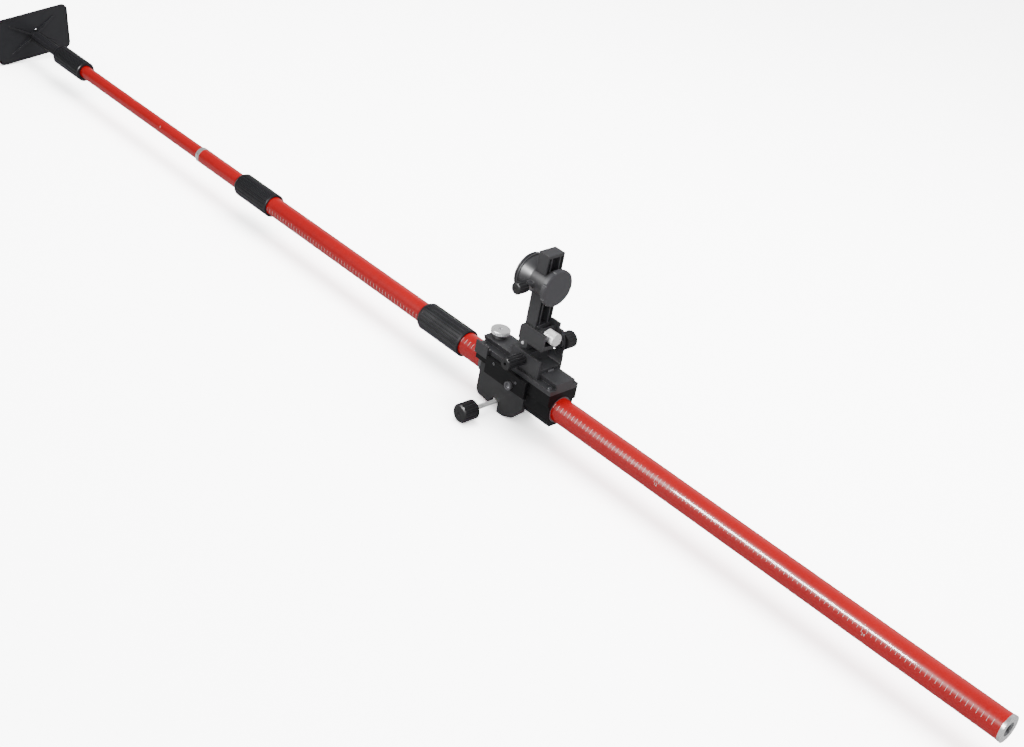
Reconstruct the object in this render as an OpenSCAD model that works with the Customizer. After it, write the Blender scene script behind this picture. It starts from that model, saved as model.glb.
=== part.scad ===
// Telescoping floor-to-ceiling pole with a sliding, turning instrument clamp.
// Millimetres. The origin is the centre of the foot's outer face. +X runs up the pole to the
// ceiling plate, +Z is the way the clamp's arm stands, and +Y faces the clamp screw's knob.

/* [Clearances] */
// Radial running clearance of turning and sliding fits
run_gap = 0.05; // [0.03:0.01:0.09]
// Radial clearance of bonded and pressed fits
bond_gap = 0.02; // [0.01:0.01:0.04]
// Gap between flat faces that move past each other
face_gap = 0.3; // [0.2:0.05:0.4]

/* [Tubes] */
// Outside diameter of the main tube
main_od = 32; // [31:0.5:33]
// Wall of the main tube
main_wall = 1.5; // [1.2:0.1:1.8]
// Wall of the second tube
second_wall = 1.3; // [1.1:0.1:1.5]
// Wall of the third tube
third_wall = 1.2; // [1:0.1:1.4]
// Outside diameter of the top tube
top_od = 20; // [19:0.2:20.6]
// Wall of the top tube
top_wall = 0.8; // [0.7:0.05:1]
// Radial room between one tube and the next one inside it
nest_gap = 0.8; // [0.7:0.05:1]
// Length of the main tube
main_len = 869.5; // [850:0.5:900]
// Length of the second tube
second_len = 908; // [880:1:920]
// How far the second tube stands out of the main tube
second_out = 415; // [380:1:440]
// Length of the third tube
third_len = 920; // [900:1:940]
// How far the third tube stands out of the second tube
third_out = 132; // [110:1:160]
// Length of the top tube
top_len = 368; // [350:1:390]
// Width of the bright coupler ring
ring_w = 8; // [5:1:12]
// Length of each coupler spigot
coupler_grip = 24; // [18:1:30]
// Bore through the coupler
coupler_bore = 12; // [8:1:14]
// Length of the guide bush on an inner tube's end
bush_len = 20; // [12:1:26]

/* [Push rod] */
// Length of the push rod
rod_len = 278; // [260:1:300]
// How far the push rod stands out of the top tube
rod_out = 122; // [105:1:140]
// Number of flutes along the push rod
rod_flutes = 8; // [6:1:10]
// Radius of each flute
rod_flute_r = 1.4; // [1:0.1:1.8]
// Depth of each flute
rod_flute_depth = 0.7; // [0.4:0.1:1]
// Radius of the push rod's neck at the plate
neck_r = 6; // [5:0.25:6.5]
// Length of the neck
neck_len = 9; // [6:1:14]

/* [Twist locks] */
// How far a collar reaches past its tube's end
collar_reach = 35; // [33:1:38]
// Length of the lower collar
lower_collar_len = 81; // [75:1:88]
// Length of the middle and top collars
upper_collar_len = 77; // [70:1:84]
// Outside diameter of the lower collar
lower_collar_od = 38; // [37:0.5:40]
// Outside diameter of the middle collar
middle_collar_od = 34.5; // [33:0.5:36]
// Outside diameter of the top collar
top_collar_od = 31.5; // [29:0.5:33]
// Number of flutes round a collar
collar_flutes = 20; // [14:1:24]
// Radius of a collar's flute
collar_flute_r = 1.6; // [1.2:0.1:2]
// Depth of a collar's flute
collar_flute_depth = 0.8; // [0.5:0.1:1]
// Chamfer at a collar's far end
collar_nose = 4; // [2:0.5:6]
// Radial room between a collar's skirt and its tube
skirt_gap = 0.8; // [0.6:0.1:1]
// Depth of a lock sleeve's spigot in its tube
spigot_len = 22; // [16:1:26]
// Thickness of a lock sleeve's flange
lock_flange = 3; // [2:0.5:4]
// How far the sleeve's thread lies inside the tube's outside
thread_step = 0.5; // [0.3:0.1:0.7]
// Length of a lock sleeve's thread
lock_thread = 12; // [10:1:14]
// Length of a collet
collet_len = 9; // [7:0.5:10]
// Wall of a collet at its thin end
collet_tip = 0.6; // [0.5:0.05:0.7]
// Number of slots in a collet
collet_slots = 6; // [4:1:8]
// Width of a collet's slot
collet_slot_w = 1.2; // [0.8:0.1:1.6]

/* [Foot] */
// Thickness of the foot plug's flange
flange_t = 3.5; // [2.5:0.5:5]
// How far the flange stands out past the tube
flange_lip = 0.5; // [0.2:0.1:1]
// Depth of the foot plug inside the tube
plug_depth = 25; // [20:1:30]
// Outside diameter of the threaded insert
insert_od = 17; // [15:0.5:20]
// Length of the threaded insert
insert_len = 20; // [18:1:24]
// How deep the insert lies below the face
insert_sink = 0.8; // [0.4:0.1:1.5]
// Radius of the threaded socket's wall
socket_r = 4; // [3:0.25:4.5]
// Length of the threaded socket
socket_len = 14; // [12:1:15]
// Radius of the socket's countersunk mouth
mouth_r = 5; // [4.75:0.25:6]

/* [Ceiling plate] */
// Width of the ceiling plate
plate_w = 130; // [120:1:140]
// Height of the ceiling plate
plate_h = 78; // [77:0.5:82]
// Corner radius of the ceiling plate
plate_corner = 9.5; // [7:0.5:12]
// Thickness of the ceiling plate
plate_t = 3; // [2.5:0.5:4]
// Width of the rim round the plate's back
rim_w = 2; // [1.5:0.5:3]
// Height of the rim and the ribs' low ends
rim_h = 1; // [0.6:0.2:2]
// Reach of each diagonal rib from the centre
rib_reach = 48; // [40:1:52]
// Thickness of a diagonal rib
rib_t = 2.4; // [1.6:0.2:3]
// Height of a rib beside the push rod
rib_h = 6; // [4:0.5:8]
// Distance of each through hole from the centre
plate_hole_off = 10; // [9.5:0.5:14]
// Radius of each through hole
plate_hole_r = 2.5; // [1.5:0.25:3]
// Rim round each through hole
hole_rim = 1.2; // [0.8:0.1:1.6]
// Thickness of the friction pad
pad_t = 2; // [1:0.5:4]
// Radius of the plate screw's shank
plate_screw_r = 2.5; // [2:0.25:3]
// Length of the plate screw in the push rod
plate_screw_len = 16; // [10:1:20]

/* [Clamp sleeve and body] */
// Distance from the main tube's open end back to the clamp's near end
clamp_back = 218; // [183:1:673]
// Length of the clamp along the pole
clamp_len = 132; // [130:1:136]
// Wall of the split liner
liner_wall = 1.9; // [1.5:0.1:2]
// Width of the liner's slit
liner_slit = 2; // [1:0.5:4]
// How far the liner ends inside the clamp's ends
liner_inset = 0.5; // [0:0.5:2]
// Half width of the saddle
saddle_half = 24; // [23.5:0.5:24]
// Height of the saddle's top above the pole's axis
saddle_top = 26; // [25:0.5:27]
// Height of the saddle's lower edge
saddle_low = 10; // [9.8:0.1:10.5]
// Length of the closed bearing block at the near end
block_len = 42; // [36:1:42]
// Half width of the bearing block
block_half = 20; // [19.5:0.5:21]
// Depth of the bearing block below the axis
block_drop = 21; // [20:0.5:22]
// How far the side skirt stands out
skirt_out = 30; // [29:0.5:31]
// Lower edge of the side skirt
skirt_low = 3; // [2:0.5:4]

/* [Jaws] */
// Outer face of each jaw
jaw_out = 20; // [19.5:0.25:20.5]
// Thickness of each jaw before it is hollowed for the liner
jaw_t = 5.5; // [5:0.25:6]
// Length of a jaw along the pole
jaw_len = 82; // [80:1:84]
// Height of a jaw's upper edge
jaw_top = 6; // [5:0.5:6]
// Radius of the jaw hinge pin
jaw_pin_r = 1.5; // [1.25:0.25:1.75]
// Radius of the jaw's knuckles
knuckle_r = 3.2; // [2.9:0.1:3.3]
// How far the hinge pin lies from the pole's axis, sideways
jaw_pin_y = 22; // [21.8:0.1:22.4]
// How far the hinge pin lies above the pole's axis
jaw_pin_z = 9; // [8.8:0.1:9.2]

/* [Clamp screw] */
// Radius of the clamp screw
clamp_screw_r = 3; // [2.5:0.25:3]
// Depth of the clamp screw below the pole's axis
clamp_screw_drop = 34; // [34:0.5:36]
// Distance of the clamp screw from the clamp's near end
clamp_screw_off = 90; // [88:1:92]
// Where the clamp knob's inner face lies
clamp_knob_y = 57; // [50:1:64]
// Length of the clamp knob
clamp_knob_len = 23; // [18:1:28]
// Radius of the clamp knob
clamp_knob_r = 12.5; // [11.5:0.25:13.5]
// Width of the nut across its flats
nut_flats = 10; // [9:0.5:12]
// Thickness of the nut
nut_t = 5; // [4:0.5:6]
// Thickness of the washer
washer_t = 1.5; // [1:0.25:2]
// Radius of the washer
washer_r = 7; // [6:0.5:9]

/* [Slide rail] */
// Thickness of the rail's base
rail_base = 6; // [5:0.5:7]
// Height of the dovetail
dovetail_h = 8; // [7:0.5:9]
// Half width of the dovetail's neck
dovetail_neck = 13; // [12:0.5:14]
// Half width of the dovetail's top
dovetail_top = 16; // [15:0.5:17]
// Module of the rack and pinion
gear_module = 1; // [0.8:0.1:1.1]
// Number of teeth on the pinion
pinion_teeth = 10; // [9:1:11]
// Half width of the rack
rack_half = 5; // [4:0.5:6]
// Number of teeth on the rack
rack_teeth = 22; // [18:1:23]
// Distance of the pinion from the clamp's near end
pinion_off = 59; // [57:1:61]

/* [Thumbwheel] */
// Radius of the thumbwheel
wheel_r = 12.5; // [10:0.5:13]
// Thickness of the thumbwheel
wheel_t = 5; // [4:0.5:7]
// Height of the seat under the thumbwheel
wheel_seat_h = 6; // [4:0.5:8]
// Radius of the seat
wheel_seat_r = 9; // [7:0.5:10]
// Radius of the thumbwheel's stud
wheel_stud_r = 2.5; // [2:0.25:3]
// Distance of the thumbwheel from the clamp's far end
wheel_off = 12; // [12:0.5:13]

/* [Carriage and bracket] */
// Distance of the carriage from the clamp's near end
carriage_off = 29; // [28:1:31]
// Length of the carriage
carriage_len = 50; // [47:1:50]
// Half width of the carriage
carriage_half = 20; // [19.5:0.5:20.5]
// Height of the carriage above the dovetail's top
carriage_rise = 17; // [16.5:0.25:18]
// Height of the tilt pin above the carriage's top
tilt_pin_rise = 8; // [8:0.25:9]
// Distance of the tilt pin from the clamp's near end
tilt_pin_off = 66; // [65:1:67]
// Radius of the tilt pin
tilt_pin_r = 2; // [1.75:0.25:2.5]
// Radius of the lug round the tilt pin
tilt_lug_r = 5.2; // [4.8:0.2:5.6]
// Radius of the bracket's ears
ear_r = 7.5; // [6:0.25:7.5]
// Half width between the bracket's cheeks
cheek_in = 13.7; // [13.6:0.1:14]
// Thickness of the bracket's cheeks
cheek_t = 2.8; // [2.4:0.2:3]
// Length of the bracket along the pole
bracket_len = 42; // [40:1:44]
// Height of the bracket's cheeks
cheek_h = 23; // [21:1:25]
// Extra height of the far cheek's horn
horn_h = 7; // [4:1:9]
// Thickness of the bracket's floor
bracket_floor = 3; // [2.5:0.25:3]
// Radius of the arc slot round the tilt pin
arc_r = 32; // [31:0.5:32.5]
// Direction of the lock knob from the tilt pin
lock_dir = 165; // [163:1:167]
// Travel of the tilt either way
tilt_range = 8; // [4:1:8]
// Radius of the black lock knob
lock_knob_r = 11; // [9:0.5:12]
// Length of the black lock knob
lock_knob_len = 17; // [14:1:20]
// Radius of the bright arm screw's head
arm_knob_r = 8.5; // [7:0.5:8.75]
// Length of the bright arm screw's head
arm_knob_len = 16; // [12:1:18]

/* [Arm] */
// Depth of the arm
arm_depth = 17; // [16:0.5:17]
// Half width of the arm
arm_half = 13.5; // [13.3:0.1:13.5]
// Length of the arm
arm_len = 118; // [114:1:124]
// Thickness of the arm's back web
arm_web = 3.5; // [3:0.25:4]
// Thickness of the arm's ribs and sides
arm_rib = 2; // [1.6:0.2:2.2]
// Half width of the arm's middle cell
arm_cell = 6; // [5.5:0.25:6.25]
// Half width of the slot for the stud
arm_slot = 4; // [3.8:0.1:4.4]

/* [Platform] */
// Height of the platform's centre above the arm's foot
platform_rise = 77; // [74:1:80]
// Radius of the platform disc
platform_r = 25.4; // [24:0.2:27]
// Thickness of the platform disc
platform_t = 6; // [5:0.5:7]
// Radius of the slider's barrel
barrel_r = 20; // [19:0.5:20.5]
// Wall of the slider before the arm
slider_front = 4.7; // [4:0.1:5]
// Wall of the slider behind the arm
slider_back = 15.7; // [14:0.1:17]
// Travel of the slider either way
slider_travel = 22; // [16:1:22]
// Radius of the instrument stud
stud_r = 3.17; // [3:0.01:3.3]
// Radius of the stud's plain shank
shank_r = 3.5; // [3.4:0.05:3.7]
// How far the stud stands out of the pad
stud_out = 12; // [8:1:16]
// Radius of the stud's disc
stud_disc_r = 24.3; // [20:0.1:25]
// Thickness of the stud's disc
stud_disc_t = 6; // [4:0.5:7]
// Thickness of the platform's pad
platform_pad_t = 1.5; // [1:0.25:2.5]
// Radius of the slider's lock knob
slider_knob_r = 8; // [6:0.5:9]
// Length of the slider's lock knob
slider_knob_len = 15; // [12:1:18]
// Where the slider's lock knob starts, sideways
slider_knob_y = 30; // [27:0.5:32]

/* [Hidden] */
$fn = 72;
eps = 0.01;

// Tube radii, each tied to the tube that it slides in
main_r = main_od / 2;
main_ri = main_r - main_wall;
second_r = main_ri - nest_gap;
second_ri = second_r - second_wall;
third_r = second_ri - nest_gap;
third_ri = third_r - third_wall;
top_r = top_od / 2;
top_ri = top_r - top_wall;
rod_r = top_ri - nest_gap;

// Places along the pole
main_end = flange_t + main_len;
clamp_x = main_end - clamp_back;
second_end = main_end + second_out;
second_start = second_end - second_len;
third_end = second_end + third_out;
third_start = third_end - third_len;
top_start = third_end + ring_w;
top_end = top_start + top_len;
plate_x = top_end + rod_out;
rod_start = plate_x - rod_len;

// Clamp screw and the level of the floor under the lying pole
clamp_screw_x = clamp_x + clamp_screw_off;
floor_drop = clamp_screw_drop + clamp_knob_r;
notch_half = clamp_screw_r + 3.5;
notch_top = -clamp_screw_drop + clamp_screw_r + 1;

// The plate leans until its low corner and the clamp knob stand on one floor
corner_y = plate_w / 2 - plate_corner;
corner_z = plate_h / 2 - plate_corner;
corner_far = norm([corner_y, corner_z]);
plate_turn = atan2(corner_y, corner_z) - acos((floor_drop - plate_corner) / corner_far);
hole_turn = 40;

// Clamp radii and stations
liner_ri = main_r + run_gap;
liner_r = liner_ri + liner_wall;
body_bore = liner_r + run_gap;
jaw_bore = liner_r + face_gap;
clamp_end = clamp_x + clamp_len;
jaw_x = clamp_x + block_len + 1;
skirt_x = jaw_x - 7;
skirt_end = skirt_x + 72;
lug_a_end = jaw_x + 0.7;
lug_b = jaw_x + 10.3;
lug_b_end = lug_b + 17.4;
lug_c = skirt_end - 5.7;
pocket_r = knuckle_r + 0.35;
lug_low = jaw_top + 0.6;

// Rail, rack and pinion
rail_z = saddle_top;
base_z = rail_z + rail_base;
head_z = base_z + dovetail_h;
pitch = PI * gear_module;
pinion_pr = gear_module * pinion_teeth / 2;
gear_add = 0.8 * gear_module;
gear_ded = gear_module;
gear_angle = 25;
backlash = 0.2 * gear_module;
rack_root = head_z + 1;
rack_line = rack_root + gear_ded;
rack_tip = rack_line + gear_add;
pinion_x = clamp_x + pinion_off;
pinion_z = rack_line + pinion_pr;
pinion_half = rack_half - 0.5;
pinion_shaft_r = 2.5;
pinion_knob_y = carriage_half + 1;
pinion_knob_len = 28;
pinion_knob_r = 8;
rail_screw_y = (dovetail_top + saddle_half) / 2;
rail_screw_r = 1.5;
guard_x = skirt_end + 0.5;
guard_end = clamp_end - 2;
wheel_x = clamp_end - wheel_off;
wheel_z = head_z + wheel_seat_h;
wheel_clear = 0.2;

// Carriage, tilt pin and bracket
carriage_x = clamp_x + carriage_off;
carriage_end = carriage_x + carriage_len;
carriage_top = head_z + carriage_rise;
tilt_x = clamp_x + tilt_pin_off;
tilt_z = carriage_top + tilt_pin_rise;
bracket_x = tilt_x - 33;
bracket_end = bracket_x + bracket_len;
bracket_z = tilt_z + 3;
floor_top = bracket_z + bracket_floor;
cheek_out = cheek_in + cheek_t;
cheek_top = bracket_z + cheek_h;
lock_x = tilt_x + arc_r * cos(lock_dir);
lock_z = tilt_z + arc_r * sin(lock_dir);
lock_screw_r = 2.5;
plate_in = cheek_out + face_gap;
plate_out = plate_in + 2.5;
lock_knob_in = plate_out + face_gap;
arm_screw_z = tilt_z + 19;
arm_screw_r = 2.5;
bridge_x = tilt_x - 21;
bridge_t = 4;
arm_knob_x = bridge_x - 2;

// Arm and platform
arm_x = tilt_x - 12;
arm_end = arm_x + arm_depth;
arm_z = floor_top;
arm_top = arm_z + arm_len;
platform_z = arm_z + platform_rise;
slider_x = arm_x - face_gap - slider_front;
slider_end = arm_end + face_gap + slider_back;
platform_x = slider_end + platform_t;
pad_x = platform_x + platform_pad_t;
stud_disc_x = slider_x - face_gap - stud_disc_t - 0.7;
slider_screw_r = 2;
slider_screw_x = arm_end - slider_screw_r;
slider_screw_z = platform_z - 2;
slider_boss_r = 5.5;

plastic = [0.16, 0.16, 0.17];
red_coat = [0.80, 0.16, 0.13];
bright = [0.82, 0.82, 0.84];

// Cylinders and tubes along each axis
module x_rod(x0, x1, r, y = 0, z = 0) {
    translate([x0, y, z]) rotate([0, 90, 0]) cylinder(h = x1 - x0, r = r);
}
module y_rod(y0, y1, r, x = 0, z = 0) {
    translate([x, y0, z]) rotate([-90, 0, 0]) cylinder(h = y1 - y0, r = r);
}
module z_rod(z0, z1, r, x = 0, y = 0) {
    translate([x, y, z0]) cylinder(h = z1 - z0, r = r);
}
module x_tube(x0, x1, r_out, r_in) {
    difference() {
        x_rod(x0, x1, r_out);
        x_rod(x0 - 1, x1 + 1, r_in);
    }
}
// Solids of revolution about the pole's axis from points of [radius, x]
module x_turned(points) {
    rotate([0, 90, 0]) rotate_extrude() polygon(points);
}
// Outlines drawn as [y, z] and carried along X, or as [x, z] and carried along Y
module yz_prism(x0, x1) {
    translate([x0, 0, 0]) rotate([90, 0, 90]) linear_extrude(x1 - x0) children();
}
module xz_prism(y0, y1) {
    translate([0, y1, 0]) rotate([90, 0, 0]) linear_extrude(y1 - y0) children();
}
module box(low, high) {
    translate(low) cube(high - low);
}
// A rectangle with round corners
module round_rect(w, h, r) {
    square([w - 2 * r, h], center = true);
    square([w, h - 2 * r], center = true);
    for (sx = [-1, 1], sy = [-1, 1])
        translate([sx * (w / 2 - r), sy * (h / 2 - r)]) circle(r);
}
// Grooves round a cylinder that stands on z = 0
module grooves(count, r, depth, groove_r, z0, z1) {
    for (i = [0:count - 1])
        rotate([0, 0, i * 360 / count]) translate([r + groove_r - depth, 0, z0])
            cylinder(h = z1 - z0, r = groove_r, $fn = 24);
}
// A grip standing on z = 0, grooved along its side, with a chamfered free end
module grip(r, len, count, groove_r, depth, chamfer) {
    difference() {
        union() {
            cylinder(h = len - chamfer, r = r);
            translate([0, 0, len - chamfer]) cylinder(h = chamfer, r1 = r, r2 = r - chamfer);
        }
        grooves(count, r, depth, groove_r, chamfer, len + 1);
    }
}

// Foot
module foot_plug() {
    color(bright) difference() {
        union() {
            x_rod(0, flange_t, main_r + flange_lip);
            x_rod(flange_t, flange_t + plug_depth, main_ri - bond_gap);
        }
        x_rod(-1, insert_sink + insert_len, insert_od / 2 + bond_gap);
        x_rod(insert_sink + insert_len - 1, flange_t + plug_depth + 1, socket_r + 1);
    }
}
module foot_insert() {
    mouth = mouth_r - socket_r;
    color("gray") difference() {
        x_rod(insert_sink, insert_sink + insert_len, insert_od / 2);
        x_turned([[0, insert_sink - 1], [mouth_r + 1, insert_sink - 1],
            [mouth_r, insert_sink], [socket_r, insert_sink + mouth],
            [socket_r, insert_sink + mouth + socket_len],
            [0, insert_sink + mouth + socket_len + socket_r / 2]]);
    }
}

// Tubes
module main_tube() {
    color(red_coat) x_tube(flange_t, main_end, main_r, main_ri);
}
module second_tube() {
    color(red_coat) x_tube(second_start, second_end, second_r, second_ri);
}
module third_tube() {
    color(red_coat) x_tube(third_start, third_end, third_r, third_ri);
}
module top_tube() {
    color(red_coat) x_tube(top_start, top_end, top_r, top_ri);
}
module second_tube_bush() {
    color(plastic)
        x_tube(second_start, second_start + bush_len, main_ri - run_gap, second_r + bond_gap);
}
module third_tube_bush() {
    color(plastic)
        x_tube(third_start, third_start + bush_len, second_ri - run_gap, third_r + bond_gap);
}
module tube_coupler() {
    color(bright) difference() {
        union() {
            x_rod(third_end - coupler_grip, third_end, third_ri - bond_gap);
            x_rod(third_end, top_start, third_r);
            x_rod(top_start, top_start + coupler_grip, top_ri - bond_gap);
        }
        x_rod(third_end - coupler_grip - 1, top_start + coupler_grip + 1, coupler_bore / 2);
    }
}

// Twist locks, each built round a tube's end x, from the tube's and the inner tube's radii
module lock_sleeve(x, r, ri, inner_r) {
    color("dimgray") difference() {
        union() {
            x_rod(x - spigot_len, x, ri - bond_gap);
            x_rod(x, x + lock_flange, r);
            x_rod(x + lock_flange, x + lock_flange + lock_thread, r - thread_step);
        }
        x_rod(x - spigot_len - 1, x + lock_flange + lock_thread + 1, inner_r + run_gap);
    }
}
function collet_root_r(r) = r - thread_step - 0.2;
module collet(x, r, inner_r) {
    x0 = x + lock_flange + lock_thread;
    bore = inner_r + run_gap;
    root_r = collet_root_r(r);
    color("gray") difference() {
        x_turned([[bore, x0], [root_r, x0], [inner_r + collet_tip, x0 + collet_len],
            [bore, x0 + collet_len]]);
        for (i = [0:collet_slots - 1])
            rotate([i * 360 / collet_slots, 0, 0])
                box([x0 + 2, -collet_slot_w / 2, inner_r / 2],
                    [x0 + collet_len + 1, collet_slot_w / 2, root_r + 1]);
    }
}
module lock_collar(x, len, od, r, inner_r) {
    x0 = x + collar_reach - len;
    x1 = x + collar_reach;
    shoulder = x + lock_flange + face_gap;
    thread_end = x + lock_flange + lock_thread + face_gap;
    cone_end = thread_end + collet_len;
    thread_r = r - thread_step + run_gap;
    color(plastic) difference() {
        x_turned([[0, x0], [od / 2 - 1, x0], [od / 2, x0 + 1], [od / 2, x1 - collar_nose],
            [od / 2 - collar_nose / 2, x1], [0, x1]]);
        x_turned([[0, x0 - 1], [r + skirt_gap, x0 - 1], [r + skirt_gap, shoulder],
            [thread_r, shoulder], [thread_r, thread_end],
            [collet_root_r(r) + face_gap, thread_end],
            [inner_r + collet_tip + face_gap, cone_end],
            [inner_r + collet_tip / 2, cone_end + 1],
            [inner_r + collet_tip / 2, x1 + 1], [0, x1 + 1]]);
        translate([x0, 0, 0]) rotate([0, 90, 0])
            grooves(collar_flutes, od / 2, collar_flute_depth, collar_flute_r, 3, len - collar_nose - 1);
    }
}
module lower_lock_sleeve() {
    lock_sleeve(main_end, main_r, main_ri, second_r);
}
module lower_collet() {
    collet(main_end, main_r, second_r);
}
module lower_collar() {
    lock_collar(main_end, lower_collar_len, lower_collar_od, main_r, second_r);
}
module middle_lock_sleeve() {
    lock_sleeve(second_end, second_r, second_ri, third_r);
}
module middle_collet() {
    collet(second_end, second_r, third_r);
}
module middle_collar() {
    lock_collar(second_end, upper_collar_len, middle_collar_od, second_r, third_r);
}
module top_lock_sleeve() {
    lock_sleeve(top_end, top_r, top_ri, rod_r);
}
module top_collet() {
    collet(top_end, top_r, rod_r);
}
module top_collar() {
    lock_collar(top_end, upper_collar_len, top_collar_od, top_r, rod_r);
}

// Push rod and ceiling plate
module push_rod() {
    neck_x = plate_x - neck_len;
    flute_x = rod_start + bush_len;
    color(plastic) difference() {
        x_turned([[0, rod_start], [rod_r, rod_start], [rod_r, neck_x], [neck_r, neck_x + 2],
            [neck_r, plate_x], [0, plate_x]]);
        translate([flute_x, 0, 0]) rotate([0, 90, 0])
            grooves(rod_flutes, rod_r, rod_flute_depth, rod_flute_r, 0, neck_x - flute_x);
        x_rod(plate_x - plate_screw_len - 1, plate_x + 1, plate_screw_r + bond_gap);
    }
}
module push_rod_bush() {
    color("gray") x_tube(rod_start, rod_start + bush_len - 8, top_ri - run_gap, rod_r + bond_gap);
}
module plate_outline(inset) {
    round_rect(plate_w - 2 * inset, plate_h - 2 * inset, plate_corner - inset);
}
module plate_holes(x0, x1, r) {
    for (s = [-1, 1]) rotate([s * 90 + 90 + hole_turn, 0, 0])
        translate([0, 0, plate_hole_off]) x_rod(x0, x1, r);
}
module ceiling_plate() {
    rib_angle = atan2(plate_h, plate_w);
    rib_start = neck_r + 0.3;
    color(plastic) rotate([-plate_turn, 0, 0]) difference() {
        union() {
            yz_prism(plate_x, plate_x + plate_t) plate_outline(0);
            yz_prism(plate_x - rim_h, plate_x + eps) difference() {
                plate_outline(0);
                plate_outline(rim_w);
            }
            for (a = [rib_angle, 180 - rib_angle, 180 + rib_angle, -rib_angle])
                rotate([a, 0, 0]) plate_rib(rib_start);
            plate_holes(plate_x - rim_h, plate_x, plate_hole_r + hole_rim);
        }
        plate_holes(plate_x - rib_h - 1, plate_x + plate_t + 1, plate_hole_r);
        x_rod(plate_x - 1, plate_x + plate_t + 1, plate_screw_r + bond_gap);
        x_turned([[0, plate_x + plate_t - plate_screw_r], [plate_screw_r, plate_x + plate_t - plate_screw_r],
            [2 * plate_screw_r + 0.1, plate_x + plate_t + 0.1], [0, plate_x + plate_t + 0.1]]);
    }
}
// A rib that runs out along Y and falls from the push rod to the rim's height
module plate_rib(start) {
    translate([0, 0, -rib_t / 2]) linear_extrude(rib_t)
        polygon([[plate_x + eps, start], [plate_x - rib_h, start], [plate_x - rim_h, rib_reach],
            [plate_x + eps, rib_reach]]);
}
module ceiling_pad() {
    color([0.1, 0.1, 0.1]) rotate([-plate_turn, 0, 0]) difference() {
        yz_prism(plate_x + plate_t, plate_x + plate_t + pad_t) plate_outline(rim_w);
        plate_holes(plate_x, plate_x + plate_t + pad_t + 1, plate_hole_r);
    }
}
module plate_screw() {
    x1 = plate_x + plate_t;
    color(bright) x_turned([[0, plate_x - plate_screw_len], [plate_screw_r, plate_x - plate_screw_len],
        [plate_screw_r, x1 - plate_screw_r], [2 * plate_screw_r, x1], [0, x1]]);
}

// Clamp sleeve, body and jaws
module clamp_liner() {
    color([0.45, 0.46, 0.47]) difference() {
        x_tube(clamp_x + liner_inset, clamp_end - liner_inset, liner_r, liner_ri);
        box([clamp_x - 1, -liner_slit / 2, -liner_r - 1], [clamp_end + 1, liner_slit / 2, 0]);
    }
}
// Outline of a jaw, with its foot on the floor and an open notch for the screw
module jaw_outline(top) {
    far = jaw_x + jaw_len;
    corner = 9;
    near_notch = clamp_screw_x + 1 - notch_half;
    far_notch = clamp_screw_x + 1 + notch_half;
    difference() {
        union() {
            polygon([[jaw_x, top], [far, top], [far, -31], [far - corner, -40],
                [far_notch, -42], [far_notch, notch_top - 1], [near_notch, notch_top - 1],
                [near_notch, -floor_drop], [near_notch - 11, -floor_drop], [jaw_x + 14, -40],
                [jaw_x, -24]]);
            translate([far - corner, -31]) circle(corner);
        }
        hull() {
            translate([clamp_screw_x + 1, notch_top - notch_half + 1]) circle(notch_half - 1, $fn = 24);
            translate([clamp_screw_x + 1, -80]) circle(notch_half - 1, $fn = 24);
        }
    }
}
module clamp_body() {
    color(plastic) difference() {
        union() {
            // Saddle over the tube
            yz_prism(clamp_x, clamp_end)
                polygon([[-saddle_half, saddle_low], [saddle_half, saddle_low],
                    [saddle_half, saddle_top], [-saddle_half, saddle_top]]);
            // Closed bearing block at the near end
            yz_prism(clamp_x, clamp_x + block_len)
                polygon([[-block_half, saddle_low + 1], [-block_half, -block_drop / 2],
                    [-block_half + 6, -block_drop], [block_half - 6, -block_drop],
                    [block_half, -block_drop / 2], [block_half, saddle_low + 1]]);
            // Side skirt over the jaw's hinge
            box([skirt_x, jaw_pin_y + 2.3, skirt_low], [skirt_end, skirt_out, saddle_top]);
            box([skirt_x, saddle_half - 1, saddle_low], [skirt_end, skirt_out - 1, saddle_top]);
            // Hinge lugs
            for (lug = [[skirt_x, lug_a_end], [lug_b, lug_b_end], [lug_c, skirt_end]])
                box([lug[0], jaw_pin_y - 3.4, lug_low], [lug[1], jaw_pin_y + 3, saddle_low + 2]);
            // Fixed jaw
            xz_prism(-jaw_out, -jaw_out + jaw_t) jaw_outline(saddle_low + 1);
        }
        x_rod(clamp_x - 1, clamp_end + 1, body_bore);
        // Pockets that the jaw's knuckles turn in
        x_rod(lug_a_end, lug_b, pocket_r, jaw_pin_y, jaw_pin_z);
        x_rod(lug_b_end, lug_c, pocket_r, jaw_pin_y, jaw_pin_z);
        x_rod(skirt_x + 2, skirt_end + 1, jaw_pin_r + bond_gap, jaw_pin_y, jaw_pin_z);
        // Screw holes
        y_rod(-jaw_out - 1, 0, clamp_screw_r + 0.3, clamp_screw_x, -clamp_screw_drop);
        for (s = side_screw_list())
            y_rod(s[3] - 0.1, skirt_out + 1, s[2] + bond_gap, s[0], s[1]);
        rail_screw_set(saddle_top - 12.2, saddle_top + 1, rail_screw_r + bond_gap);
    }
}
module moving_jaw() {
    web_in = jaw_out - 3;
    color([0.34, 0.34, 0.36]) difference() {
        union() {
            xz_prism(jaw_out - jaw_t, jaw_out) jaw_outline(jaw_top);
            for (k = [[lug_a_end + face_gap, lug_b - face_gap], [lug_b_end + face_gap, lug_c - face_gap]]) {
                x_rod(k[0], k[1], knuckle_r, jaw_pin_y, jaw_pin_z);
                box([k[0], web_in, jaw_top - 1], [k[1], jaw_out + 0.5, jaw_pin_z + 0.4]);
            }
        }
        x_rod(jaw_x - 1, jaw_x + jaw_len + 1, jaw_bore);
        x_rod(jaw_x - 1, jaw_x + jaw_len + 1, jaw_pin_r + run_gap, jaw_pin_y, jaw_pin_z);
    }
}
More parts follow.
